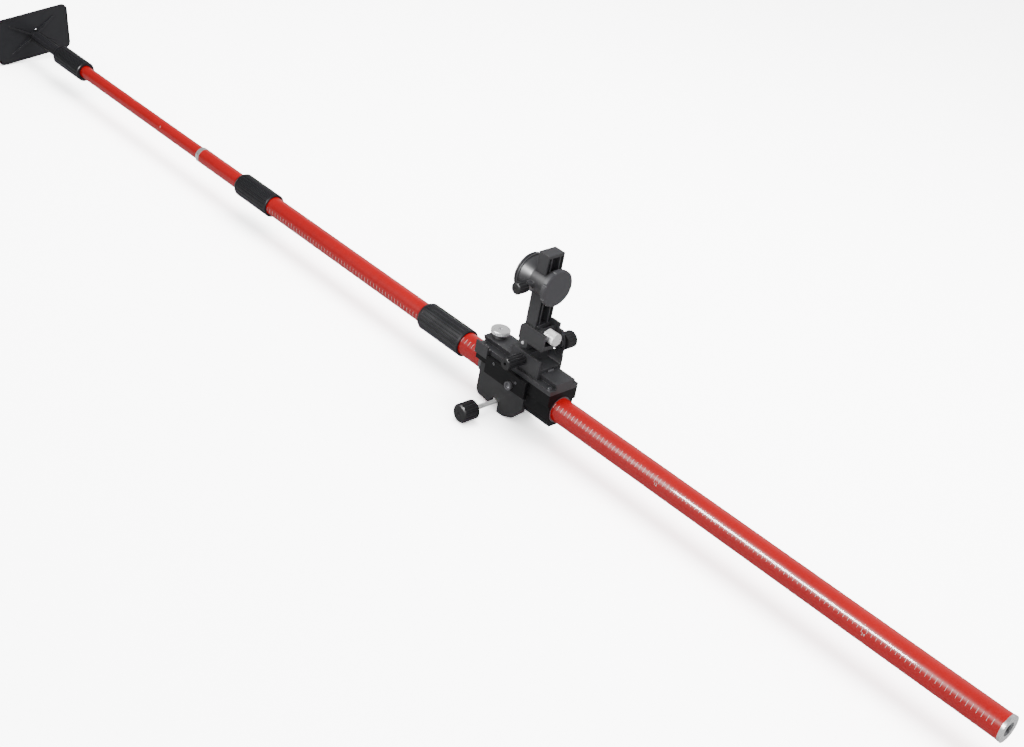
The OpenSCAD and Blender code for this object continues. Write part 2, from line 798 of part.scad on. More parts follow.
module jaw_pin() {
    color(bright) x_rod(skirt_x + 2, skirt_end, jaw_pin_r, jaw_pin_y, jaw_pin_z);
}

// Clamp screw
module clamp_nut() {
    color(bright) difference() {
        translate([clamp_screw_x, -jaw_out - nut_t, -clamp_screw_drop]) rotate([-90, 0, 0])
            cylinder(h = nut_t, r = nut_flats / 2 / cos(30), $fn = 6);
        y_rod(-jaw_out - nut_t - 1, -jaw_out + 1, clamp_screw_r + run_gap, clamp_screw_x, -clamp_screw_drop);
    }
}
module clamp_screw() {
    color(bright) y_rod(-jaw_out - nut_t - 2, clamp_knob_y + clamp_knob_len - 10, clamp_screw_r,
        clamp_screw_x, -clamp_screw_drop);
}
module clamp_washer() {
    color(bright) difference() {
        y_rod(clamp_knob_y - washer_t, clamp_knob_y, washer_r, clamp_screw_x, -clamp_screw_drop);
        y_rod(clamp_knob_y - washer_t - 1, clamp_knob_y + 1, clamp_screw_r + bond_gap,
            clamp_screw_x, -clamp_screw_drop);
    }
}
module clamp_knob() {
    color(plastic) translate([clamp_screw_x, clamp_knob_y, -clamp_screw_drop]) rotate([-90, 0, 0])
        difference() {
            grip(clamp_knob_r, clamp_knob_len, 14, 2, 0.9, 2);
            translate([0, 0, -1]) cylinder(h = clamp_knob_len - 9, r = clamp_screw_r + bond_gap);
            translate([0, 0, clamp_knob_len - 0.8]) cylinder(h = 2, r = clamp_screw_r);
        }
}

// Slide rail with its rack and screws
module rail_screw_set(z0, z1, r) {
    for (x = [clamp_x + 6, clamp_end - 6], s = [-1, 1]) z_rod(z0, z1, r, x, s * rail_screw_y);
}
module dovetail(gap) {
    polygon([[-dovetail_neck - gap, base_z - gap - 0.1], [dovetail_neck + gap, base_z - gap - 0.1],
        [dovetail_neck + gap, base_z], [dovetail_top + gap, head_z + gap],
        [-dovetail_top - gap, head_z + gap], [-dovetail_neck - gap, base_z]]);
}
module slide_rail() {
    color(plastic) difference() {
        union() {
            box([clamp_x, -saddle_half, rail_z], [clamp_end, saddle_half, base_z]);
            yz_prism(clamp_x, clamp_end) dovetail(0);
            // Guard beside the thumbwheel
            box([guard_x, saddle_half - 1, rail_z], [guard_end, skirt_out, base_z]);
            box([guard_x, skirt_out - 3, rail_z - 5], [guard_end, skirt_out, base_z + 6]);
        }
        rail_screw_set(rail_z - 1, base_z + 1, rail_screw_r + bond_gap);
        z_rod(rail_z + 1, head_z + 1, wheel_stud_r + run_gap, wheel_x);
        // The dovetail's corners are cut back for the near and far screws
        for (x = [clamp_x + 6, clamp_end - 6], s = [-1, 1])
            z_rod(base_z, head_z + 1, 3.2, x, s * rail_screw_y);
    }
}
module rack() {
    first = pinion_x - 10 * pitch;
    half = pitch / 4 - backlash / 4;
    slope = tan(gear_angle);
    last = first + (rack_teeth - 1) * pitch;
    color("gray") xz_prism(-rack_half, rack_half) {
        polygon([[first - pitch / 2, head_z], [last + pitch / 2, head_z],
            [last + pitch / 2, rack_root], [first - pitch / 2, rack_root]]);
        for (i = [0:rack_teeth - 1]) translate([first + i * pitch, 0])
            polygon([[-half - gear_ded * slope, rack_root - eps], [half + gear_ded * slope, rack_root - eps],
                [half - gear_add * slope, rack_tip], [-half + gear_add * slope, rack_tip]]);
    }
}
module rail_screws() {
    color(bright) {
        rail_screw_set(saddle_top - 12, base_z + eps, rail_screw_r);
        rail_screw_set(base_z, base_z + 2.2, 2.6);
    }
}
// Socket screws in the clamp's side, each as [x, z, radius, inner end]
function side_screw_list() = [
    [jaw_x + 19, jaw_pin_z, 4, jaw_pin_y + jaw_pin_r + 0.2],
    [jaw_x + 10, jaw_pin_z + 8.5, 1.8, saddle_half - 2],
    [jaw_x + 51, jaw_pin_z + 13, 1.8, saddle_half - 2]];
module side_screws() {
    color("gray") for (s = side_screw_list()) difference() {
        y_rod(s[3], skirt_out + s[2] / 6, s[2], s[0], s[1]);
        translate([s[0], skirt_out - s[2] / 2, s[1]]) rotate([-90, 0, 0])
            cylinder(h = s[2] * 2, r = s[2] * 0.55, $fn = 6);
    }
}

// Thumbwheel that locks the slide
module thumbwheel_seat() {
    color(plastic) difference() {
        translate([wheel_x, 0, head_z])
            cylinder(h = wheel_seat_h - wheel_clear, r1 = wheel_seat_r, r2 = wheel_seat_r - 1.5);
        z_rod(head_z - 1, wheel_z + 1, wheel_stud_r + run_gap, wheel_x);
    }
}
module thumbwheel_stud() {
    color(bright) z_rod(rail_z + 1.5, wheel_z + wheel_t - 1.5, wheel_stud_r, wheel_x);
}
module thumbwheel() {
    color(bright) translate([wheel_x, 0, wheel_z]) difference() {
        union() {
            cylinder(h = wheel_t - 0.8, r = wheel_r);
            translate([0, 0, wheel_t - 0.8]) cylinder(h = 0.8, r1 = wheel_r, r2 = wheel_r - 0.8);
        }
        grooves(36, wheel_r, 0.4, 0.8, -1, wheel_t + 1);
        translate([0, 0, -1]) cylinder(h = wheel_t - 0.5, r = wheel_stud_r + bond_gap);
        translate([0, 0, wheel_t - 1.5]) cylinder(h = 3, r = 2.6, $fn = 6);
    }
}

// Carriage with its pinion
module arc_slot(r, half) {
    for (a = [-tilt_range - 2:2:tilt_range + 2]) rotate([0, 0, lock_dir + a])
        translate([r, 0]) circle(half);
}
module carriage() {
    plate_ri = arc_r - 6;
    plate_ro = arc_r + 6;
    color(plastic) difference() {
        union() {
            box([carriage_x, -carriage_half, base_z + face_gap],
                [carriage_end, carriage_half, carriage_top]);
            // Vertical ribs on the near face
            for (i = [0:4])
                box([carriage_x - 1, -carriage_half + 1 + 3 * i, head_z],
                    [carriage_x + 1, -carriage_half + 2.4 + 3 * i, carriage_top]);
            // Lug for the tilt pin
            xz_prism(-cheek_in + 0.4, cheek_in - 0.4) translate([tilt_x, 0]) {
                translate([0, tilt_z]) circle(tilt_lug_r);
                translate([-tilt_lug_r, carriage_top - 1])
                    square([2 * tilt_lug_r, tilt_pin_rise + 1]);
            }
            // Quadrant plate that the lock knob grips
            xz_prism(-plate_out, -plate_in) translate([tilt_x, tilt_z]) {
                intersection() {
                    difference() {
                        circle(plate_ro);
                        circle(plate_ri);
                    }
                    polygon([[0, 0], [-60, 60 * tan(180 - lock_dir + 16)],
                        [-60, 60 * tan(180 - lock_dir - 16)]]);
                }
                translate([-plate_ro + 1, -tilt_pin_rise - 1])
                    square([13, tilt_pin_rise + 3]);
            }
        }
        yz_prism(carriage_x - 2, carriage_end + 1) dovetail(face_gap);
        box([carriage_x - 2, -rack_half - 0.5, head_z], [carriage_end + 1, rack_half + 0.5, rack_tip + 0.5]);
        y_rod(-pinion_half - 0.5, pinion_half + 0.5, pinion_pr + gear_add + 0.6, pinion_x, pinion_z);
        y_rod(-pinion_half - 10, carriage_half + 1, pinion_shaft_r + run_gap, pinion_x, pinion_z);
        y_rod(-cheek_in, cheek_in, tilt_pin_r + run_gap, tilt_x, tilt_z);
        xz_prism(-plate_out - 1, -plate_in + 0.1) translate([tilt_x, tilt_z]) {
            arc_slot(arc_r, lock_screw_r + 0.4);
        }
    }
}
// One flank of an involute tooth, as points from the root to the tip
function roll(r, base) = let(a = acos(min(1, base / r))) tan(a) * 180 / PI - a;
module pinion_outline() {
    base = pinion_pr * cos(gear_angle);
    tip = pinion_pr + gear_add;
    root = pinion_pr - gear_ded;
    half = (pitch / 2 - backlash / 2) / pinion_pr * 90 / PI + roll(pinion_pr, base);
    radii = [for (i = [0:4]) base + (tip - base) * i / 4];
    circle(root);
    for (t = [0:pinion_teeth - 1]) rotate(-90 + (t + 0.5) * 360 / pinion_teeth)
        polygon(concat([[root * 0.8 * cos(half), -root * 0.8 * sin(half)]],
            [for (r = radii) let(a = half - roll(r, base)) [r * cos(a), -r * sin(a)]],
            [for (i = [4:-1:0]) let(r = radii[i], a = half - roll(r, base)) [r * cos(a), r * sin(a)]],
            [[root * 0.8 * cos(half), root * 0.8 * sin(half)]]));
}
module pinion() {
    color("gray") {
        xz_prism(-pinion_half, pinion_half) translate([pinion_x, pinion_z]) pinion_outline();
        y_rod(-pinion_half - 9, pinion_knob_y + 10, pinion_shaft_r, pinion_x, pinion_z);
    }
}
module pinion_knob() {
    color(plastic) translate([pinion_x, pinion_knob_y, pinion_z]) rotate([-90, 0, 0]) difference() {
        grip(pinion_knob_r, pinion_knob_len, 12, 1.5, 0.9, 1);
        translate([0, 0, -1]) cylinder(h = 11, r = pinion_shaft_r + bond_gap);
        translate([0, 0, pinion_knob_len - 3]) cylinder(h = 4, r = 2.6, $fn = 6);
    }
}

// Hinge bracket
module cheek_outline() {
    near_r = 6;
    far_r = 8;
    x0 = bracket_x;
    x1 = bracket_end;
    polygon([[x0, bracket_z + near_r], [x0 + near_r, bracket_z], [x1, bracket_z],
        [x1, cheek_top - far_r], [x1 - far_r, cheek_top], [x0, cheek_top]]);
    translate([x0 + near_r, bracket_z + near_r]) circle(near_r);
    translate([x1 - far_r, cheek_top - far_r]) circle(far_r);
    translate([tilt_x, tilt_z]) circle(ear_r);
    translate([tilt_x - ear_r, tilt_z]) square([2 * ear_r, 6]);
}
module hinge_bracket() {
    color(plastic) difference() {
        union() {
            xz_prism(cheek_in, cheek_out) cheek_outline();
            xz_prism(-cheek_out, -cheek_in) {
                cheek_outline();
                translate([bracket_x + 7, cheek_top - 1]) square([15, horn_h + 1]);
                translate([lock_x, lock_z]) circle(6);
            }
            box([bracket_x + 1.5, -cheek_out, bracket_z], [arm_x + 3, cheek_out, floor_top]);
            box([bracket_x, -cheek_out, bracket_z + 3], [bracket_x + 3, cheek_out, bracket_z + 6.4]);
            // Bridge that the arm screw runs through
            box([bridge_x, -cheek_out, arm_screw_z - 9], [bridge_x + bridge_t, cheek_out, arm_screw_z + 7]);
        }
        y_rod(-cheek_out - 1, cheek_out + 1, tilt_pin_r + bond_gap, tilt_x, tilt_z);
        x_rod(bridge_x - 1, bridge_x + bridge_t + 1, arm_screw_r + run_gap, 0, arm_screw_z);
        y_rod(-cheek_out - 1, -cheek_in + 1, lock_screw_r + run_gap, lock_x, lock_z);
    }
}
module tilt_pin() {
    color(bright) y_rod(-cheek_out - 0.1, cheek_out + 0.8, tilt_pin_r, tilt_x, tilt_z);
}
module bracket_lock_screw() {
    color(bright) y_rod(-lock_knob_in - 8, -cheek_in - 0.3, lock_screw_r, lock_x, lock_z);
}
module bracket_lock_knob() {
    color(plastic) translate([lock_x, -lock_knob_in, lock_z]) rotate([90, 0, 0]) difference() {
        grip(lock_knob_r, lock_knob_len, 16, 1.8, 0.9, 1.5);
        translate([0, 0, -1]) cylinder(h = 9, r = lock_screw_r + bond_gap);
    }
}
module arm_screw() {
    color(bright) {
        translate([arm_knob_x, 0, arm_screw_z]) rotate([0, -90, 0])
            grip(arm_knob_r, arm_knob_len, 28, 0.8, 0.4, 1);
        x_rod(arm_knob_x - 1, arm_x - 0.2, arm_screw_r, 0, arm_screw_z);
    }
}

// Arm
module arm() {
    deep = arm_depth - arm_web;
    side_in = arm_half - arm_rib;
    color(plastic) difference() {
        box([arm_x, -arm_half, arm_z], [arm_end, arm_half, arm_top]);
        difference() {
            union() {
                box([arm_x - 1, -arm_cell, arm_z - 1], [arm_x + deep, arm_cell, arm_top - 4]);
                for (s = [0, 1]) mirror([0, s, 0])
                    box([arm_x - 1, arm_cell + arm_rib, arm_z - 1], [arm_x + deep, side_in, arm_top - 4]);
            }
            // Solid pad that the arm screw bears on
            box([arm_x - 2, -arm_half, arm_screw_z - 9], [arm_end, arm_half, arm_screw_z + 9]);
        }
        // Slot that the stud runs in
        box([arm_x + deep - 1, -arm_slot, platform_z - slider_travel - arm_slot],
            [arm_end + 1, arm_slot, platform_z + slider_travel + arm_slot]);
    }
}

// Platform and its slider
module platform_slider() {
    color(plastic) difference() {
        translate([0, 0, platform_z]) union() {
            x_rod(slider_x, slider_end + eps, barrel_r);
            x_turned([[0, arm_end + 2], [barrel_r, arm_end + 2], [platform_r - 1.5, slider_end],
                [platform_r - 1.5, platform_x - 1], [0, platform_x - 1]]);
            x_rod(slider_end, slider_end + platform_t / 2 - 0.6, platform_r);
            x_rod(slider_end + platform_t / 2 + 0.6, platform_x, platform_r);
            y_rod(arm_half + 2, slider_knob_y - face_gap, slider_boss_r,
                slider_screw_x, slider_screw_z - platform_z);
        }
        // Way for the arm
        box([arm_x - face_gap, -arm_half - face_gap, platform_z - 2 * platform_r],
            [arm_end + face_gap, arm_half + face_gap, platform_z + 2 * platform_r]);
        // Flat on the barrel's lower side
        translate([0, 0, platform_z]) rotate([45, 0, 0])
            box([slider_x - 1, -platform_r, -platform_r - 3], [slider_end - 1, platform_r, -barrel_r + 1.5]);
        x_rod(slider_x - 1, platform_x + 1, shank_r + run_gap, 0, platform_z);
        y_rod(arm_half, slider_knob_y + 1, slider_screw_r + run_gap, slider_screw_x, slider_screw_z);
    }
}
module platform_pad() {
    color([0.1, 0.1, 0.1]) translate([0, 0, platform_z])
        x_tube(platform_x, pad_x, platform_r - 2, shank_r + 1);
}
module stud_screw() {
    color(bright) {
        x_rod(stud_disc_x + 2, pad_x, shank_r, 0, platform_z);
        x_rod(pad_x - eps, pad_x + stud_out, stud_r, 0, platform_z);
    }
}
module stud_disc() {
    color(plastic) translate([stud_disc_x, 0, platform_z]) rotate([0, 90, 0]) difference() {
        union() {
            translate([0, 0, 1]) cylinder(h = stud_disc_t - 1, r = stud_disc_r);
            cylinder(h = 1, r1 = stud_disc_r - 1, r2 = stud_disc_r);
        }
        translate([0, 0, 2]) cylinder(h = stud_disc_t, r = shank_r + bond_gap);
        for (i = [0:7]) rotate([0, 0, 22.5 + 45 * i]) translate([stud_disc_r + 0.9, 0, -1])
            cylinder(h = stud_disc_t + 2, r = 2, $fn = 24);
    }
}
module slider_lock_screw() {
    color(bright) y_rod(arm_half + face_gap, slider_knob_y + 9, slider_screw_r, slider_screw_x, slider_screw_z);
}
module slider_lock_knob() {
    color(plastic) translate([slider_screw_x, slider_knob_y, slider_screw_z]) rotate([-90, 0, 0])
        difference() {
            grip(slider_knob_r, slider_knob_len, 12, 1.5, 0.8, 1.5);
            translate([0, 0, -1]) cylinder(h = 10, r = slider_screw_r + bond_gap);
            translate([-4, -0.8, slider_knob_len - 1.5]) cube([8, 1.6, 3]);
        }
}

foot_plug();
foot_insert();
main_tube();
lower_lock_sleeve();
lower_collet();
lower_collar();
second_tube();
second_tube_bush();
middle_lock_sleeve();
middle_collet();
middle_collar();
third_tube();
third_tube_bush();
tube_coupler();
top_tube();
top_lock_sleeve();
top_collet();
top_collar();
push_rod();
push_rod_bush();
ceiling_plate();
ceiling_pad();
plate_screw();
clamp_liner();
clamp_body();
moving_jaw();
jaw_pin();
clamp_nut();
clamp_screw();
clamp_washer();
clamp_knob();
slide_rail();
rack();
rail_screws();
side_screws();
thumbwheel_seat();
thumbwheel_stud();
thumbwheel();
carriage();
pinion();
pinion_knob();
hinge_bracket();
tilt_pin();
bracket_lock_screw();
bracket_lock_knob();
arm_screw();
arm();
platform_slider();
platform_pad();
stud_screw();
stud_disc();
slider_lock_screw();
slider_lock_knob();
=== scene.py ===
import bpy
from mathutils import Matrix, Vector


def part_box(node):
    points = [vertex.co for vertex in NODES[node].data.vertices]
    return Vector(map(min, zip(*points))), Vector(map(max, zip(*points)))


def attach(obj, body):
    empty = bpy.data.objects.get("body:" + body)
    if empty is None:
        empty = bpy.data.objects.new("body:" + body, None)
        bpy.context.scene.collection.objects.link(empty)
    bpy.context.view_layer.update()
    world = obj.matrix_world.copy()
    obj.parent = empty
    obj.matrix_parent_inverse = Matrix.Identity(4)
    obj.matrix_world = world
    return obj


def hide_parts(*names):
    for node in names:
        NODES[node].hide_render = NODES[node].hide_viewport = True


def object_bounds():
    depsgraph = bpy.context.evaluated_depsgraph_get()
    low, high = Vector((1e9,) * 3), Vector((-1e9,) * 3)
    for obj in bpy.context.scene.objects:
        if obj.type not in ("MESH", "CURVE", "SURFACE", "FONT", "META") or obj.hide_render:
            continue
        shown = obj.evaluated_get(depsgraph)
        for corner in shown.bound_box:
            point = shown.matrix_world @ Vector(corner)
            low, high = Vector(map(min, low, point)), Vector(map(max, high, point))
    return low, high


bl_info = {
    "name": "Telescoping Pole with Instrument Clamp",
    "version": (1, 0, 0),
    "blender": (4, 5, 0),
    "location": "View3D > Sidebar > Pole",
    "description": "Dresses a floor-to-ceiling pole with coats, scales, threads and mouldings",
    "category": "Object",
}

import math

import bpy
from bpy.props import FloatProperty, FloatVectorProperty, IntProperty, PointerProperty
from bpy.types import Operator, Panel, PropertyGroup
from mathutils import Matrix, Vector

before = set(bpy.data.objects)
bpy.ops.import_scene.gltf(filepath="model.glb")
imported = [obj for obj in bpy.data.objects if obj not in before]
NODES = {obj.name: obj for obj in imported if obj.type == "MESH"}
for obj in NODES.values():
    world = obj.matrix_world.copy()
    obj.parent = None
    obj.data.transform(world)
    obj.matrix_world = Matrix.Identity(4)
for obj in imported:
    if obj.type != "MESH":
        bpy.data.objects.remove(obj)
CAD_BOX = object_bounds()
MM = 0.001


# Places read from the parts imported from model.glb

def middle(node):
    """Centre of a node's box."""
    low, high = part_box(node)
    return (low + high) / 2


def radius_of(node):
    """Outside radius of a node that is turned about the pole's axis."""
    low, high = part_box(node)
    return (high.z - low.z) / 2


# Sizes and colours that a user may change

def colour(name, text, value):
    """A colour setting."""
    return FloatVectorProperty(name=name, description=text, default=value, size=3,
                               min=0, max=1, subtype="COLOR")


def length(name, text, value, high=10.0):
    """A length setting in metres."""
    return FloatProperty(name=name, description=text, default=value, min=0, max=high,
                         subtype="DISTANCE", unit="LENGTH", precision=5)


def angle(name, text, degrees):
    """An angle setting."""
    return FloatProperty(name=name, description=text, default=math.radians(degrees),
                         subtype="ANGLE", unit="ROTATION")


def amount(name, text, value):
    """A plain setting that isn't negative."""
    return FloatProperty(name=name, description=text, default=value, min=0)


class PoleColours(PropertyGroup):
    """Colours of the coats, mouldings and metals."""
    red: colour("Red Coat", "Coat of the four tubes", (0.58, 0.003, 0.006))
    rubbed: colour("Rubbed Red", "Rings that use has rubbed into the coat", (0.72, 0.10, 0.09))
    print_white: colour("Print", "Printed ticks and numbers", (1.0, 0.88, 0.85))
    moulded: colour("Moulded Black", "Rail, carriage, bracket, arm and platform",
                    (0.046, 0.046, 0.050))
    plate: colour("Plate Black", "Ceiling plate and push rod", (0.023, 0.023, 0.027))
    # Painted shade: the clamp body's darker colour stands in for the shade on its skirt and fixed
    # jaw
    clamp: colour("Clamp Shade Black", "Clamp body, darkened as painted shade", (0.008, 0.008, 0.009))
    ribbed: colour("Collar Black", "Ribbed twist collars", (0.017, 0.017, 0.020))
    knob: colour("Knob Black", "Turned knobs", (0.016, 0.016, 0.018))
    disc: colour("Disc Grey", "The stud's disc", (0.060, 0.060, 0.067))
    jaw: colour("Jaw Grey", "Moving jaw", (0.034, 0.034, 0.037))
    sleeve: colour("Sleeve Grey", "Liner, lock sleeves, collets and bushes", (0.16, 0.16, 0.17))
    rubber: colour("Rubber", "Ceiling pad and platform pad", (0.020, 0.020, 0.021))
    aluminium: colour("Aluminium", "Foot plug and coupler ring", (0.84, 0.84, 0.85))
    steel: colour("Bright Steel", "Plated screws, pins and thumbwheel", (0.97, 0.97, 0.98))
    dark_steel: colour("Dark Steel", "Socket insert, rack, pinion and side screws",
                       (0.16, 0.16, 0.17))


class PoleScale(PropertyGroup):
    """The printed scales."""
    tick_step: length("Tick Step", "Distance from one tick to the next", 6.35 * MM)
    tick_width: length("Tick Width", "Width of a tick along the tube", 0.38 * MM)
    tick_length: length("Tick Length", "Length of a tick round the tube", 6.6 * MM)
    long_extra: length("Long Tick", "What a numbered tick has more at each end", 1.6 * MM)
    ink: length("Ink", "Thickness of the print", 0.03 * MM)
    first_tick: length("First Tick", "First tick, from the foot's face", 13.0 * MM)
    ticks: IntProperty(name="Ticks", description="Ticks on the main tube", default=135)
    first_number: IntProperty(name="First Number",
                              description="Ticks before the first numbered one", default=26)
    number_every: IntProperty(name="Number Every",
                              description="Steps from one numbered tick to the next", default=48)
    digit_height: length("Digit Height", "Height of a printed number", 3.2 * MM)
    digit_gap: length("Digit Gap", "Gap between a number and its tick", 0.9 * MM)
    main_turn: angle("Main Row", "Direction of the main tube's row at the foot", 27)
    main_drift: angle("Row Drift", "How far the main tube's row drifts round it in a metre", 20)
    second_turn: angle("Second Row", "Direction of the second tube's row", -6)
    second_long: length("Second Long Tick", "Place of the second tube's long tick", 1187 * MM)
    second_start: length("Second Start", "Bare length at the second tube's inner end", 90 * MM)
    second_end: length("Second End", "Bare length at the second tube's open end", 6 * MM)
    top_mark: length("Top Mark", "Place of the number on the top tube", 1528 * MM)
    top_turn: angle("Top Number", "Direction of the top tube's number", 62)


class PoleThreads(PropertyGroup):
    """The threads that show."""
    clamp_pitch: length("Clamp Pitch", "Pitch of the clamp screw's thread", 1.0 * MM)
    stud_pitch: length("Stud Pitch", "Pitch of the instrument stud's thread", 1.27 * MM)
    foot_pitch: length("Foot Pitch", "Pitch of the foot socket's thread", 1.5875 * MM)
    foot_bore: length("Foot Bore", "Radius of the foot socket's wall", 4.0 * MM)
    foot_mouth: length("Foot Mouth", "Where the thread starts inside the insert", 1.2 * MM)
    foot_depth: length("Foot Depth", "How deep the foot socket's thread goes", 12.5 * MM)
    depth: FloatProperty(name="Depth", description="Depth of a thread as a share of its pitch",
                         default=0.45, min=0.2, max=0.6)


class PoleMouldings(PropertyGroup):
    """The hinge cap, and the open recess in the carriage."""
    cap_radius: length("Cap Radius", "Radius of the cap on the jaw's hinge", 5.6 * MM)
    cap_height: length("Cap Height", "Height of the cap", 4.0 * MM)
    cap_wall: length("Cap Wall", "Wall round the cap's socket", 1.8 * MM)
    cap_socket: length("Cap Socket", "Depth of the cap's socket", 2.6 * MM)
    cap_along: length("Cap Place", "From the moving jaw's foot end to the cap", 19.0 * MM)
    cap_above: length("Cap Rise", "From the lowest side screw's edge up to the cap", 4.0 * MM)
    recess_wall: length("Recess Wall", "Wall at each side of the recess", 2.6 * MM)
    recess_depth: length("Recess Depth", "Depth of the recess", 25.0 * MM)
    recess_floor: length("Recess Floor", "From the rack up to the recess", 1.8 * MM)
    recess_top: length("Recess Top", "How far the recess goes up past the bracket's foot", 1.0 * MM)
    recess_corner: length("Recess Corner", "Radius of the recess's corners", 1.2 * MM)


class PoleStage(PropertyGroup):
    """Floor, lights and camera."""
    floor_size: length("Floor", "Side of the floor", 50.0, high=100)
    floor: colour("Floor Colour", "Pale floor", (0.50, 0.50, 0.50))
    floor_gain: amount("Floor Gain", "How much paler the camera sees the floor than the pole does",
                       13.0)
    world: amount("Surround", "Strength of the pale surround", 0.76)
    dark_side: amount("Dark Side", "Surround that the gloss mirrors on the camera's side", 0.10)
    bright_side: amount("Bright Side", "Surround that the gloss mirrors behind the pole", 0.7)
    overhead: amount("Overhead Light", "Watts of the soft light above", 50.0)
    front: amount("Front Light", "Watts of the soft light at the foot's side", 10.0)
    window: amount("Window Light", "Watts of the window that the coat mirrors", 110.0)
    camera_place: FloatVectorProperty(name="Camera Place", description="Where the camera stands",
                                      default=(-0.44466, 1.35635, 1.07926),
                                      subtype="TRANSLATION", unit="LENGTH", precision=5)
    camera_turn: FloatVectorProperty(name="Camera Turn", description="How the camera is turned",
                                     default=(math.radians(58.664), math.radians(-9.635),
                                              math.radians(-132.981)),
                                     subtype="EULER", unit="ROTATION")
    lens: FloatProperty(name="Lens", description="Focal length of the camera", default=58.887,
                        min=10, subtype="DISTANCE_CAMERA", unit="CAMERA")


# Modelling helpers, each one step as by hand

def clear_selection():
    """Leaves edit mode with nothing selected."""
    if bpy.context.object and bpy.context.object.mode != "OBJECT":
        bpy.ops.object.mode_set(mode="OBJECT")
    bpy.ops.object.select_all(action="DESELECT")


def select_only(piece):
    """Selects one piece and makes it the active one."""
    clear_selection()
    piece.select_set(True)
    bpy.context.view_layer.objects.active = piece


def edit_all(piece):
    """Opens a piece in edit mode with all of its mesh selected."""
    select_only(piece)
    bpy.ops.object.mode_set(mode="EDIT")
    bpy.ops.mesh.select_all(action="SELECT")


def pick(kind, test):
    """Selects the active mesh's points or faces whose place passes a test, in edit mode."""
    mesh = bpy.context.object.data
    bpy.ops.object.mode_set(mode="EDIT")
    bpy.ops.mesh.select_mode(type=kind)
    bpy.ops.mesh.select_all(action="DESELECT")
    bpy.ops.object.mode_set(mode="OBJECT")
    if kind == "VERT":
        for point in mesh.vertices:
            point.select = test(point.co)
    else:
        for face in mesh.polygons:
            face.select = test(face.center)
    bpy.ops.object.mode_set(mode="EDIT")


def settle(piece):
    """Puts a piece's place into its mesh."""
    select_only(piece)
    bpy.ops.object.transform_apply(location=True, rotation=True, scale=True)


def join(pieces):
    """One piece from several."""
    select_only(pieces[0])
    for piece in pieces[1:]:
        piece.select_set(True)
    if len(pieces) > 1:
        bpy.ops.object.join()
    return bpy.context.object


def hand_over(piece, name, body, material, replaced=()):
    """Names a finished piece, gives it its finish and lets it ride on its body."""
    settle(piece)
    piece.name = name
    piece.data.name = name
    piece.data.materials.clear()
    piece.data.materials.append(material)
    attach(piece, body)
    if replaced:
        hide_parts(*replaced)
    return piece


def outline(points):
    """An open outline through points in the XZ plane, drawn from one corner of a plane."""
    clear_selection()
    bpy.ops.mesh.primitive_plane_add(size=MM)
    piece = bpy.context.object
    pick("VERT", lambda place: place.x > 0 or place.y > 0)
    bpy.ops.mesh.delete(type="VERT")
    bpy.ops.object.mode_set(mode="OBJECT")
    corner = piece.data.vertices[0]
    corner.co = points[0]
    pick("VERT", lambda place: True)
    for before, after in zip(points, points[1:]):
        step = Vector(after) - Vector(before)
        bpy.ops.mesh.extrude_region_move(TRANSFORM_OT_translate={"value": step})
    bpy.ops.object.mode_set(mode="OBJECT")
    return piece


def use_modifier(piece, kind, **settings):
    """Adds a modifier, sets it and applies it."""
    select_only(piece)
    modifier = piece.modifiers.new(kind.title(), kind)
    for setting, value in settings.items():
        setattr(modifier, setting, value)
    bpy.ops.object.modifier_apply(modifier=modifier.name)
    return piece


def smooth(piece, degrees=35):
    """Shades a piece smooth, apart from edges sharper than an angle."""
    select_only(piece)
    bpy.ops.object.shade_smooth_by_angle(angle=math.radians(degrees))
    return piece


def merge_doubles(piece, distance):
    """Merges the points that lie closer than a distance."""
    edit_all(piece)
    bpy.ops.mesh.remove_doubles(threshold=distance)
    bpy.ops.object.mode_set(mode="OBJECT")


def face_outward(piece):
    """Turns a sheet that lies on a tube so that it faces away from the pole's axis."""
    sheet = piece.data.polygons[0]
    if sheet.normal.y * sheet.center.y + sheet.normal.z * sheet.center.z < 0:
        piece.data.flip_normals()


def sweep(piece, pitch, turns, steps):
    """Winds an outline up along Z, one pitch to a turn."""
    return use_modifier(piece, "SCREW", angle=math.tau, screw_offset=pitch, iterations=turns,
                        steps=steps, render_steps=steps, use_merge_vertices=True,
                        merge_threshold=pitch / 200)


def trim_thread(piece, long, pitch):
    """Cuts a thread square at 0 and at its length, and closes both ends."""
    edit_all(piece)
    for cut, above in ((0, False), (long, True)):
        bpy.ops.mesh.select_all(action="SELECT")
        bpy.ops.mesh.bisect(plane_co=(0, 0, cut), plane_no=(0, 0, 1), use_fill=True,
                            clear_inner=not above, clear_outer=above, threshold=pitch / 1000)
    bpy.ops.mesh.select_all(action="SELECT")
    bpy.ops.mesh.normals_make_consistent(inside=False)
    bpy.ops.object.mode_set(mode="OBJECT")


def threaded_rod(long, crest, pitch, depth_share, tip):
    """A rod along Z from 0 to its length, with a helical thread and a chamfered far end."""
    root = crest - depth_share * pitch
    flat = 0.08 * pitch
    rise = (pitch - 2 * flat) / 2
    start = -2 * pitch
    piece = outline([(root, 0, start), (root, 0, start + flat), (crest, 0, start + flat + rise),
                     (crest, 0, start + 2 * flat + rise), (root, 0, start + pitch)])
    sweep(piece, pitch, turns=math.ceil(long / pitch) + 3, steps=20)
    merge_doubles(piece, pitch / 200)
    trim_thread(piece, long, pitch)
    for point in piece.data.vertices:
        beyond = point.co.z - (long - tip)
        reach = math.hypot(point.co.x, point.co.y)
        limit = crest - beyond
        if beyond > 0 and reach > limit:
            point.co.x *= limit / reach
            point.co.y *= limit / reach
    return smooth(piece, 50)


